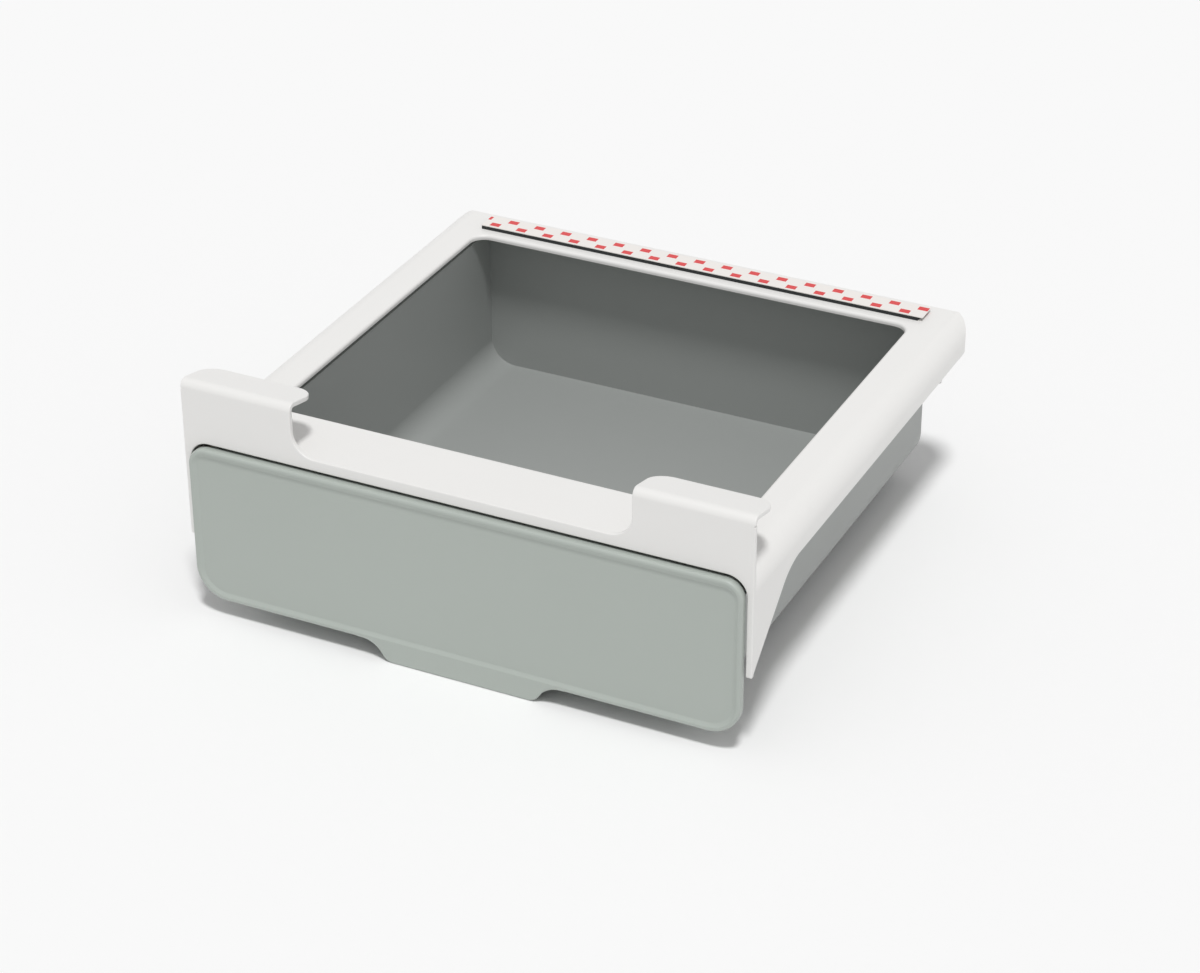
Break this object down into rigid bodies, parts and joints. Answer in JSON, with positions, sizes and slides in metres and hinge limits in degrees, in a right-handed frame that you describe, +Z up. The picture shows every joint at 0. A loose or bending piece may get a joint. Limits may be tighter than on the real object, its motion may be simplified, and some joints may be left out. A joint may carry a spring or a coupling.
{
  "type": "under-shelf drawer",
  "caption": "Shallow drawer that hangs under a shelf: a frame that hooks over the shelf's front edge and is taped to its underside carries a sliding tray with a front panel.",
  "frame": {"origin": "centre of the bounding box's footprint, level with the lower edge of the finger pull", "axes": "+X to the right as seen from the front, +Y to the back, +Z up; the drawer opens along -Y"},
  "size_m": [0.235, 0.225, 0.1],
  "materials": {
    "white_abs": "fine satin white ABS",
    "acetal": "smooth natural acetal",
    "zinc_steel": "zinc-plated steel screws",
    "black_foam": "black closed-cell foam tape",
    "liner_paper": "off-white coated release paper",
    "grey_green_abs": "satin grey-green ABS",
    "sage_abs": "satin sage ABS"
  },
  "bodies": {
    "frame": {"frame": "white_abs", "runner_left": "acetal", "runner_right": "acetal", "runner_screws": "zinc_steel", "adhesive_foam": "black_foam", "release_liner": "liner_paper"},
    "drawer": {"tray": "grey_green_abs", "front_panel": "sage_abs", "panel_screws": "zinc_steel"}
  },
  "joints": [
    {"name": "drawer_slide", "type": "slide", "parent": "frame", "child": "drawer", "axis": [0, -1, 0], "range_m": [0, 0.165]}
  ]
}
